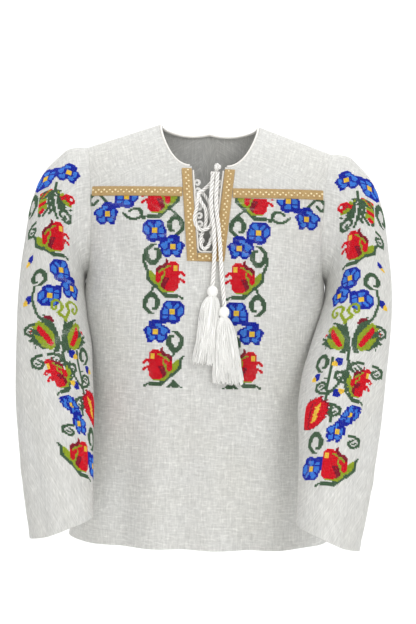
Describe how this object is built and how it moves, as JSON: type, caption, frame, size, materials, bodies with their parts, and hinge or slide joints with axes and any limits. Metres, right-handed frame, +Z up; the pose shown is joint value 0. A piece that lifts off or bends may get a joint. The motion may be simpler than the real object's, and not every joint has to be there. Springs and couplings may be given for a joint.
{
  "type": "romanian blouse",
  "caption": "Embroidered linen blouse as worn, hollow: straight body with a yoked front, laced neck slit edged in gold ribbon, set-in sleeves and tasselled ties.",
  "frame": {"origin": "where the wearer's shoulders hold the blouse: on the centre line, level with the neck ends of the shoulder seams", "axes": "+Z up, -Y towards the front, +X towards the wearer's left sleeve"},
  "size_m": [0.56, 0.4102, 0.6392],
  "materials": {
    "linen": "plain-woven off-white linen, matte",
    "gold_ribbon": "metallic gold woven ribbon, soft sheen",
    "white_cord": "white mercerised cotton cord and yarn, soft sheen"
  },
  "bodies": {
    "root": {"front_panel": "linen", "yoke_left": "linen", "yoke_right": "linen", "back_panel": "linen", "sleeve_left_upper": "linen", "sleeve_left_middle": "linen", "sleeve_left_lower": "linen", "sleeve_right_upper": "linen", "sleeve_right_middle": "linen", "sleeve_right_lower": "linen", "neck_binding": "linen", "ribbon_slit_left": "gold_ribbon", "ribbon_slit_right": "gold_ribbon", "ribbon_slit_foot": "gold_ribbon", "ribbon_yoke_left": "gold_ribbon", "ribbon_yoke_right": "gold_ribbon", "slit_binding": "white_cord", "loop_left_1": "white_cord", "loop_left_2": "white_cord", "loop_left_3": "white_cord", "loop_left_4": "white_cord", "loop_left_5": "white_cord", "loop_left_6": "white_cord", "loop_left_7": "white_cord", "loop_left_8": "white_cord", "loop_right_1": "white_cord", "loop_right_2": "white_cord", "loop_right_3": "white_cord", "loop_right_4": "white_cord", "loop_right_5": "white_cord", "loop_right_6": "white_cord", "loop_right_7": "white_cord", "loop_right_8": "white_cord", "lacing": "white_cord", "tie_knot": "white_cord", "tie_right": "white_cord", "tassel_head_right": "white_cord", "tassel_skirt_right": "white_cord", "tie_left": "white_cord", "tassel_head_left": "white_cord", "tassel_skirt_left": "white_cord"}
  },
  "joints": []
}
